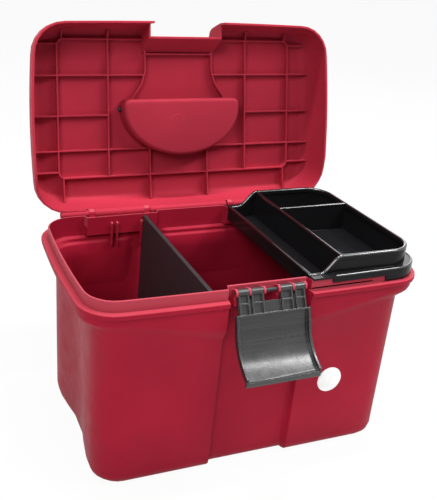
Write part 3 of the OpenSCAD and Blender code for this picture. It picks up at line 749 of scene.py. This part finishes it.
class GROOMBOX_OT_mouldings(bpy.types.Operator):
    """Give each moulding its plastic or steel finish"""

    bl_idname = "groombox.mouldings"
    bl_label = "Finish the mouldings"

    def execute(self, context):
        finish = context.scene.groombox_finish
        shading = soft_shading(finish.smooth_angle)
        # Red finishes: the lighter colour and its share paint edge highlights as well as rubbing
        red = {"rubbed_and_lit_colour": finish.red_rubbed_and_lit, "rough": 0.50, "rubbing_and_highlight": 0.85, "mottle": 0.08, "shine": 0.11,
               "tint": finish.red_sheen}
        # Two finishes for pieces that later steps add
        # Painted shade on the pocket's face: a darker copy of the lid's red
        moulded("moulded_pocket_red", finish.pocket_shaded_red, **red)
        moulded("polished_rim", finish.tray, rubbed_and_lit_colour=finish.black_rubbed_and_lit, rough=0.09, grain=0.02, edge=0.3,
                rubbing_and_highlight=0.1, shine=1.0)
        satin = moulded("satin_black", finish.black, rubbed_and_lit_colour=finish.black_rubbed_and_lit, rough=0.42, rubbing_and_highlight=0.4,
                        mottle=0.15, streaks=0.06, shine=0.3)
        looks = {
            "tub": moulded("moulded_tub_red", finish.tub_red, pale=finish.upward_painted_light, **red),
            # The lid's red is a lighter copy of the tub's, with painted sheen
            "lid": moulded("moulded_lid_red", finish.lid_red, **red),
            "latch": moulded("satin_latch", finish.latch, rubbed_and_lit_colour=finish.black_rubbed_and_lit, rough=0.27, rubbing_and_highlight=1.0,
                             mottle=0.2, streaks=0.07, shine=0.6),
            "tray": moulded("polished_black", finish.tray, rubbed_and_lit_colour=finish.black, rough=0.13, grain=0.1,
                            edge=1.2, rubbing_and_highlight=0.3, shine=0.10)}
        looks.update(dict.fromkeys(BLACK_NODES, satin))
        steel = two_tone("drawn_steel", STEEL_WAVES, STEEL_COLOURS, STEEL_GLOSS, metal=1.0)
        looks.update(dict.fromkeys(STEEL_NODES, steel))
        for name, look in looks.items():
            give_finish(frame["nodes"][name], look, shading)
        return {"FINISHED"}


class GROOMBOX_OT_lid_shell(bpy.types.Operator):
    """Stand in for the lid, with the ends of its ribs flush with the rounded wall"""

    bl_idname = "groombox.lid_shell"
    bl_label = "Make the lid's shell"

    def execute(self, context):
        sizes = context.scene.groombox_detail
        node = frame["nodes"]["lid"]
        lid = solid(context, "lid")
        opened = with_open_lid()
        shut = opened.inverted()
        shape = bmesh.new()
        shape.from_mesh(node.data)
        ribs = [(0, sizes.end_rib), (1, -sizes.side_rib), (1, sizes.side_rib)]
        for vert in shape.verts:
            spot = shut @ vert.co
            for axis, place in ribs:
                near = abs(spot[1 - axis] - place) < sizes.rib_half
                if near and spot.z > sizes.rib_level:
                    wall = self.wall(lid, opened, spot, axis, place, sizes.rib_half)
                    if abs(spot[axis]) > wall + EASE:
                        spot[axis] = math.copysign(wall, spot[axis])
                        vert.co = opened @ spot
        mesh = bpy.data.meshes.new("lid_shell")
        shape.to_mesh(mesh)
        shape.free()
        shell = bpy.data.objects.new("lid_shell", mesh)
        context.scene.collection.objects.link(shell)
        give_finish(shell, bpy.data.materials["moulded_lid_red"], bpy.data.node_groups["weld_and_smooth"])
        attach(shell, "lid")
        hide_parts("lid")
        return {"FINISHED"}

    def wall(self, lid, opened, spot, axis, place, half):
        """Distance of the lid's outer wall from its middle, measured on both sides of a rib."""
        side = math.copysign(1.0, spot[axis])
        found = []
        for beside in (-RIB_BESIDE * half, RIB_BESIDE * half):
            start = spot.copy()
            start[axis] = side * OUTSIDE
            start[1 - axis] = place + beside
            inward = Vector((0.0, 0.0, 0.0))
            inward[axis] = -side
            there, _ = meet(lid, opened @ start, opened.to_3x3() @ inward, "lid's shell")
            found.append(abs((opened.inverted() @ there)[axis]))
        return sum(found) / len(found)


class GROOMBOX_OT_blank_plate(bpy.types.Operator):
    """Add the blank round plate on the front wall"""

    bl_idname = "groombox.blank_plate"
    bl_label = "Add the blank plate"

    def execute(self, context):
        sizes = context.scene.groombox_detail
        across, up = sizes.plate_place
        start = Vector((across, -OUTSIDE, up))
        spot, normal = meet(solid(context, "tub"), start, BACKWARD, "plate")
        seat = Matrix.Translation(spot) @ normal.to_track_quat("Z", "Y").to_matrix().to_4x4()
        profile = [(sizes.plate_radius * r, sizes.plate_thickness * h) for r, h in PLATE_OUTLINE]

        def build(shape):
            turned(shape, profile, PLATE_STEPS, seat)

        white = two_tone("white_plate", PLATE_WAVES, PLATE_COLOURS, PLATE_GLOSS)
        make_piece("blank_plate", build, "tub", white)
        return {"FINISHED"}


class GROOMBOX_OT_tray_rims(bpy.types.Operator):
    """Add the rolled rims on the walls of the tray and the bead on its flange"""

    bl_idname = "groombox.tray_rims"
    bl_label = "Add the tray rims"

    def execute(self, context):
        sizes = context.scene.groombox_detail
        low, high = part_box("tray")
        top = high.z
        left = low.x + sizes.tray_wall / 2.0
        right = left + sizes.tray_across
        front, back = sizes.tray_front, sizes.tray_back
        ridge = left + sizes.tray_channel
        shiny = bpy.data.materials["polished_rim"]
        plain = bpy.data.materials["polished_black"]
        outer = self.rim_path(left, right, front, back, ridge, top, sizes)
        cap = rounded_cap(sizes.rim_inside, sizes.rim_outside, RIM_FOOT)
        inside = sizes.rim_inside - EASE
        outside = sizes.rim_outside - EASE
        skirt = [(-outside, -sizes.rim_drop), (-outside, 0.0), (inside, 0.0), (inside, -sizes.rim_drop)]
        half = sizes.tray_wall / 2.0 + RIDGE_OVER
        thin_cap = rounded_cap(half, half, RIDGE_FOOT)
        ridge_line = [Vector((ridge, front, top)), Vector((ridge, back, top))]
        cross_line = [Vector((ridge, sizes.tray_cross, top)), Vector((right, sizes.tray_cross, top))]
        over = sizes.ledge_inset + EASE
        ledge = self.ledge_path(solid(context, "tray"), sizes)
        self.rim("tray_rim", outer, cap, True, shiny)
        self.rim("tray_rim_skirt", outer, skirt, True, plain)
        self.rim("tray_ridge_rim", ridge_line, thin_cap, False, shiny)
        self.rim("tray_cross_rim", cross_line, thin_cap, False, shiny)
        self.rim("tray_ledge_bead", ledge, rounded_cap(over, over, LEDGE_FOOT), False, shiny)
        return {"FINISHED"}

    def rim(self, name, path, profile, closed, material):
        """One rim, as a profile carried along a path."""
        def build(shape):
            sweep(shape, path, profile, closed)

        make_piece(name, build, "tray", material)

    def ledge_path(self, tray, sizes):
        """Middle line of the bead on the flange's edge, from the front round the end to the back."""
        middle = Vector((sizes.ledge_middle, 0.0, sizes.ledge_height - LEDGE_BELOW))
        path = []
        for i in range(LEDGE_STEPS + 1):
            a = sizes.ledge_from + (sizes.ledge_to - sizes.ledge_from) * i / LEDGE_STEPS
            out = Vector((math.cos(a), math.sin(a), 0.0))
            spot, normal = meet(tray, middle + out * OUTSIDE, -out, "bead")
            inward = Vector((normal.x, normal.y, 0.0)).normalized() * sizes.ledge_inset
            path.append(Vector((spot.x, spot.y, sizes.ledge_height)) - inward)
        return path

    def rim_path(self, left, right, front, back, ridge, top, sizes):
        """Middle line of the outer wall's top: low along the channel, high round the compartments."""
        radius = sizes.tray_corner
        span = sizes.rise_span
        low = sizes.tray_low
        rise = []
        for i in range(RISE_STEPS + 1):
            t = i / RISE_STEPS
            rise.append((ridge - span + span * t, low + (top - low) * ease(t)))
        points = [Vector((left, front, low)), Vector((left, back, low))]
        points += [Vector((x, back, z)) for x, z in rise]
        for centre, turn in ((back - radius, 90.0), (front + radius, 0.0)):
            for i in range(CORNER_STEPS + 1):
                a = math.radians(turn - 90.0 * i / CORNER_STEPS)
                x = right - radius + radius * math.cos(a)
                points.append(Vector((x, centre + radius * math.sin(a), top)))
        points += [Vector((x, front, z)) for x, z in reversed(rise)]
        return points


class GROOMBOX_OT_pocket_cushion(bpy.types.Operator):
    """Add the softly rounded face of the handle pocket inside the lid"""

    bl_idname = "groombox.pocket_cushion"
    bl_label = "Add the pocket face"

    def execute(self, context):
        sizes = context.scene.groombox_detail
        outline = self.moon(sizes)
        middle = sum(outline, Vector((0.0, 0.0))) / len(outline)
        radius = sizes.pocket_round
        level = sizes.pocket_level
        brim = level + sizes.pocket_depth
        rings = [(sizes.pocket_wall, level + sizes.pocket_floor), (sizes.pocket_wall, brim)]
        rings += [(0.0, brim), (0.0, level + radius)]
        for i in range(1, CURVE_STEPS + 1):
            a = math.radians(90.0 * i / CURVE_STEPS)
            rings.append((radius * (1.0 - math.cos(a)), level + radius * (1.0 - math.sin(a))))
        rows = [(inset_loop(outline, inset), z) for inset, z in rings]
        last = inset_loop(outline, radius)
        for share, sink in POCKET_ROWS:
            rows.append(([middle + (p - middle) * share for p in last], level - sizes.pocket_crown * sink))
        place = with_open_lid()

        def build(shape):
            skin(shape, [[shape.verts.new(place @ Vector((p.x, p.y, z))) for p in row] for row, z in rows])

        make_piece("pocket_face", build, "lid", bpy.data.materials["moulded_pocket_red"])
        return {"FINISHED"}

    def moon(self, sizes):
        """Outline of the pocket: half an ellipse with a straight front and rounded shoulders."""
        a, b, front, corner = sizes.pocket_a, sizes.pocket_b, sizes.pocket_front, sizes.pocket_corner
        points = []
        for i in range(MOON_STEPS + 1):
            t = math.pi * i / MOON_STEPS
            points.append(Vector((a * math.cos(t), sizes.pocket_y + b * math.sin(t))))
        for side in (-1.0, 1.0):
            arc = []
            for i in range(CURVE_STEPS + 1):
                t = math.radians(180.0 + 90.0 * i / CURVE_STEPS)
                x = a - corner - corner * math.cos(t)
                arc.append(Vector((side * x, sizes.pocket_y - front + corner + corner * math.sin(t))))
            points += arc if side < 0 else list(reversed(arc))
        return points


class GROOMBOX_OT_lid_bead(bpy.types.Operator):
    """Add the round beads along the back of the lid, between and beside its hinges"""

    bl_idname = "groombox.lid_bead"
    bl_label = "Add the lid's back bead"

    def execute(self, context):
        sizes = context.scene.groombox_detail
        near, far = sizes.bead_sides
        self.rod("lid_back_bead", -sizes.bead_half, sizes.bead_half, sizes.bead_radius)
        self.rod("lid_back_bead_left", -far, -near, sizes.bead_radius)
        self.rod("lid_back_bead_right", near, far, sizes.bead_radius)
        return {"FINISHED"}

    def rod(self, name, start, end, radius):
        """A round rod on the hinge line, with softened ends."""
        soft = radius * ROD_SOFT
        profile = [(0.0, start), (radius - soft, start), (radius, start + soft), (radius, end - soft),
                   (radius - soft, end), (0.0, end)]
        middle = Matrix.Translation((0.0, LID_HINGE.y, LID_HINGE.z))
        place = middle @ Matrix.Rotation(math.radians(90.0), 4, "Y")

        def build(shape):
            turned(shape, profile, ROUND_STEPS, place)

        make_piece(name, build, "lid", bpy.data.materials["moulded_lid_red"])


class GROOMBOX_OT_inner_shoulder(bpy.types.Operator):
    """Add the two rounded steps of the shoulder inside the tub's back wall"""

    bl_idname = "groombox.inner_shoulder"
    bl_label = "Add the inner shoulder"

    def execute(self, context):
        sizes = context.scene.groombox_detail
        tub = solid(context, "tub")
        left = Vector((sizes.shoulder_left, 0.0))
        back = Vector((0.0, 0.0))
        self.strip("inner_shoulder_left", tub, left, sizes.shoulder_left_turn, sizes.shoulder_fade, sizes)
        self.strip("inner_shoulder_back", tub, back, sizes.shoulder_back_turn, sizes.shoulder_taper, sizes)
        return {"FINISHED"}

    def strip(self, name, tub, middle, turn, fade, sizes):
        """One length of the shoulder, seated on the wall at every level."""
        shares = [i / SHOULDER_STEPS for i in range(SHOULDER_STEPS + 1)]
        turns = [turn[0] + (turn[1] - turn[0]) * share for share in shares]
        rows = []
        for reach, depth in self.rows(sizes):
            height = sizes.shoulder_level - depth
            rows.append((reach, height, self.wall(tub, middle, height, turns)))

        def build(shape):
            rings = []
            for i, share in enumerate(shares):
                full = min(1.0, share / sizes.shoulder_taper, (1.0 - share) / fade)
                seats = [(reach * full, height, wall[i]) for reach, height, wall in rows]
                seats += [(0.0, height, wall[i]) for _, height, wall in reversed(rows[1:-1])]
                ring = []
                for reach, height, spot in seats:
                    flat = middle + spot - spot.normalized() * (reach - sizes.shoulder_sink)
                    ring.append(shape.verts.new((flat.x, flat.y, height)))
                rings.append(ring)
            skin(shape, rings)

        make_piece(name, build, "tub", bpy.data.materials["moulded_tub_red"])

    def rows(self, sizes):
        """Reach from the wall and depth of each row: two rounded steps, then a slow return to the wall."""
        step = sizes.shoulder_step
        high = step * STEP_HIGH
        end = high * STEPS_END
        rows = []
        for i in range(STEP_ROWS + 1):
            depth = end * i / STEP_ROWS
            reach = 0.0
            for start, part in ((0.0, 1.0), (high * SECOND_START, SECOND_REACH)):
                reach += step * part * ease(min(1.0, max(0.0, (depth - start) / high)))
            rows.append((reach + sizes.shoulder_sink * min(1.0, i), depth))
        most = step * (1.0 + SECOND_REACH) + sizes.shoulder_sink
        for i in range(1, RETURN_ROWS + 1):
            share = i / RETURN_ROWS
            depth = end + (sizes.shoulder_return - end) * share
            rows.append((most * (1.0 - share) ** RETURN_BEND, depth))
        return rows

    def wall(self, tub, middle, height, turns):
        """The tub's inner wall in each direction, with the ribs on the wall passed over."""
        start = Vector((middle.x, middle.y, height))
        kept = []
        for a in turns:
            spot, _ = meet(tub, start, Vector((math.cos(a), math.sin(a), 0.0)), "shoulder")
            spot = Vector((spot.x, spot.y)) - middle
            while len(kept) > 1 and (kept[-1] - kept[-2]).cross(spot - kept[-1]) <= 0.0:
                kept.pop()
            kept.append(spot)
        wall = []
        i = 0
        for a in turns:
            out = Vector((math.cos(a), math.sin(a)))
            while i < len(kept) - 2 and out.cross(kept[i + 1]) < 0.0:
                i += 1
            one, two = out.cross(kept[i]), out.cross(kept[i + 1])
            wall.append(kept[i].lerp(kept[i + 1], one / (one - two)))
        return wall


class GROOMBOX_OT_latch_seam(bpy.types.Operator):
    """Add the fine mould seam across the inner face of the latch"""

    bl_idname = "groombox.latch_seam"
    bl_label = "Add the latch seam"

    def execute(self, context):
        sizes = context.scene.groombox_detail
        latch = solid(context, "latch")
        half = sizes.seam_half
        path = []
        for i in range(SEAM_STEPS + 1):
            start = Vector((-half + 2.0 * half * i / SEAM_STEPS, -OUTSIDE, sizes.seam_height))
            path.append(meet(latch, start, BACKWARD, "seam")[0])
        upright = Matrix(((0.0, 0.0, 1.0), (1.0, 0.0, 0.0), (0.0, 1.0, 0.0)))
        ring = [upright @ on_circle(sizes.seam_radius, 0.0, i, CURVE_STEPS) for i in range(CURVE_STEPS)]

        def build(shape):
            skin(shape, [[shape.verts.new(spot + point) for point in ring] for spot in path])

        make_piece("latch_seam", build, "latch", bpy.data.materials["satin_black"])
        return {"FINISHED"}


class GROOMBOX_OT_pin_marks(bpy.types.Operator):
    """Add the faint round marks of the mould's pins inside the lid"""

    bl_idname = "groombox.pin_marks"
    bl_label = "Add the pin marks"

    def execute(self, context):
        sizes = context.scene.groombox_detail
        red = bpy.data.materials["moulded_lid_red"]
        small = sizes.mark_radius
        near, far = sizes.mark_across
        spots = [(across, along, sizes.plate_level, small) for along in sizes.mark_rows
                 for across in (-far, -near, near, far)]
        sink = sizes.pocket_crown * POCKET_MARK_SINK
        spots.append((*sizes.pocket_mark, sizes.pocket_level - sink, small * POCKET_MARK_SIZE))
        height = sizes.mark_height
        for number, (across, along, at, radius) in enumerate(spots):
            profile = [(radius + height * r, height * h) for r, h in MARK_OUTLINE]
            place = with_open_lid() @ Matrix.Translation((across, along, at))

            def build(shape, profile=profile, place=place):
                ring_of(shape, profile, ROUND_STEPS, place)

            make_piece("pin_mark_%02d" % number, build, "lid", red)
        return {"FINISHED"}


class GROOMBOX_OT_stage(bpy.types.Operator):
    """Set the floor, the studio light and the camera"""

    bl_idname = "groombox.stage"
    bl_label = "Set the studio"

    def execute(self, context):
        values = context.scene.groombox_stage
        self.floor(values)
        self.world(context, values)
        for name, power, size, place in LAMPS:
            self.lamp(name, getattr(values, power), size, place)
        self.camera(context, values)
        context.scene.view_settings.view_transform = "Standard"
        return {"FINISHED"}

    def floor(self, values):
        """A wide floor that looks white and gives a little light back."""
        mesh = bpy.data.meshes.new("studio_floor")
        corners = [(FLOOR_HALF * x, FLOOR_HALF * y, 0) for x, y in ((-1, -1), (1, -1), (1, 1), (-1, 1))]
        mesh.from_pydata(corners, [], [range(len(corners))])
        floor = bpy.data.objects.new("studio_floor", mesh)
        bpy.context.scene.collection.objects.link(floor)
        material = bpy.data.materials.new("pale_floor")
        material.use_nodes = True
        tree = material.node_tree
        tree.nodes.clear()
        paper = put(tree, "ShaderNodeBsdfDiffuse", Color=(*values.floor_paper, 1.0))
        white = put(tree, "ShaderNodeEmission", Strength=1.0)
        share = put(tree, "ShaderNodeMath", operation="MULTIPLY")
        wire(tree, self.seen(tree), "Value", share, 0)
        share.inputs[1].default_value = values.floor_white
        self.blend(tree, share, paper, white, "ShaderNodeOutputMaterial")
        mesh.materials.append(material)

    def seen(self, tree):
        """Gives 1 where the background is looked at, straight or in a reflection."""
        path = put(tree, "ShaderNodeLightPath")
        straight = joined(tree, "MAXIMUM", path, "Is Camera Ray", path, "Is Glossy Ray")
        return joined(tree, "MAXIMUM", straight, "Value", path, "Is Transmission Ray")

    def blend(self, tree, share, first, second, kind):
        """Mixes two shaders by a share, into an output node."""
        mix = put(tree, "ShaderNodeMixShader")
        wire(tree, share, "Value", mix, 0)
        wire(tree, first, 0, mix, 1)
        wire(tree, second, 0, mix, 2)
        wire(tree, mix, 0, put(tree, kind), "Surface")

    def world(self, context, values):
        """Even light from all round, with a white background."""
        world = bpy.data.worlds.new("studio_world")
        context.scene.world = world
        world.use_nodes = True
        tree = world.node_tree
        tree.nodes.clear()
        light = put(tree, "ShaderNodeBackground", Strength=values.world_light, Color=WHITE)
        white = put(tree, "ShaderNodeBackground", Strength=1.0, Color=WHITE)
        self.blend(tree, self.seen(tree), light, white, "ShaderNodeOutputWorld")

    def lamp(self, name, power, size, place):
        """An oblong lamp that faces the box."""
        data = bpy.data.lights.new(name, "AREA")
        data.shape = "RECTANGLE"
        data.size, data.size_y = size
        data.energy = power
        lamp = bpy.data.objects.new(name, data)
        lamp.location = place
        aim = LAMP_AIM - Vector(place)
        lamp.rotation_mode = "QUATERNION"
        lamp.rotation_quaternion = aim.to_track_quat("-Z", "Y")
        bpy.context.scene.collection.objects.link(lamp)

    def camera(self, context, values):
        """The camera, turned to the right, tilted and rolled."""
        turn, tilt, roll = values.camera_turn
        look = Vector((math.sin(turn) * math.cos(tilt), math.cos(turn) * math.cos(tilt), math.sin(tilt)))
        level = Vector((math.cos(turn), -math.sin(turn), 0.0))
        over = level.cross(look)
        right = math.cos(roll) * level + math.sin(roll) * over
        up = math.cos(roll) * over - math.sin(roll) * level
        data = bpy.data.cameras.new("camera")
        data.sensor_width = SENSOR
        data.lens = values.lens
        data.shift_x, data.shift_y = values.shift
        camera = bpy.data.objects.new("camera", data)
        axes = Matrix((right, up, -look)).transposed()
        camera.matrix_world = Matrix.Translation(values.camera_place) @ axes.to_4x4()
        context.scene.collection.objects.link(camera)
        context.scene.camera = camera


class GROOMBOX_PT_panel(bpy.types.Panel):
    """Lists the steps of the grooming box"""

    bl_idname = "GROOMBOX_PT_panel"
    bl_label = "Grooming box"
    bl_space_type = "VIEW_3D"
    bl_region_type = "UI"
    bl_category = "Grooming box"

    def draw(self, context):
        column = self.layout.column(align=True)
        for step in STEPS:
            column.operator(step.bl_idname)


STEPS = (GROOMBOX_OT_mouldings, GROOMBOX_OT_lid_shell, GROOMBOX_OT_tray_rims,
         GROOMBOX_OT_pocket_cushion, GROOMBOX_OT_lid_bead, GROOMBOX_OT_pin_marks,
         GROOMBOX_OT_inner_shoulder, GROOMBOX_OT_latch_seam, GROOMBOX_OT_blank_plate, GROOMBOX_OT_stage)
SETTINGS = {"groombox_finish": FinishSettings, "groombox_detail": DetailSettings,
            "groombox_stage": StageSettings}


def register():
    """Registers the settings, the steps and the panel."""
    for name, group in SETTINGS.items():
        bpy.utils.register_class(group)
        setattr(bpy.types.Scene, name, PointerProperty(type=group))
    for step in STEPS:
        bpy.utils.register_class(step)
    bpy.utils.register_class(GROOMBOX_PT_panel)


def unregister():
    """Takes everything out again."""
    bpy.utils.unregister_class(GROOMBOX_PT_panel)
    for step in reversed(STEPS):
        bpy.utils.unregister_class(step)
    for name, group in SETTINGS.items():
        delattr(bpy.types.Scene, name)
        bpy.utils.unregister_class(group)


def main():
    """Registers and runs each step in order."""
    register()
    bpy.ops.groombox.mouldings()
    bpy.ops.groombox.lid_shell()
    bpy.ops.groombox.tray_rims()
    bpy.ops.groombox.pocket_cushion()
    bpy.ops.groombox.lid_bead()
    bpy.ops.groombox.pin_marks()
    bpy.ops.groombox.inner_shoulder()
    bpy.ops.groombox.latch_seam()
    bpy.ops.groombox.blank_plate()
    bpy.ops.groombox.stage()


if __name__ == "__main__":
    main()
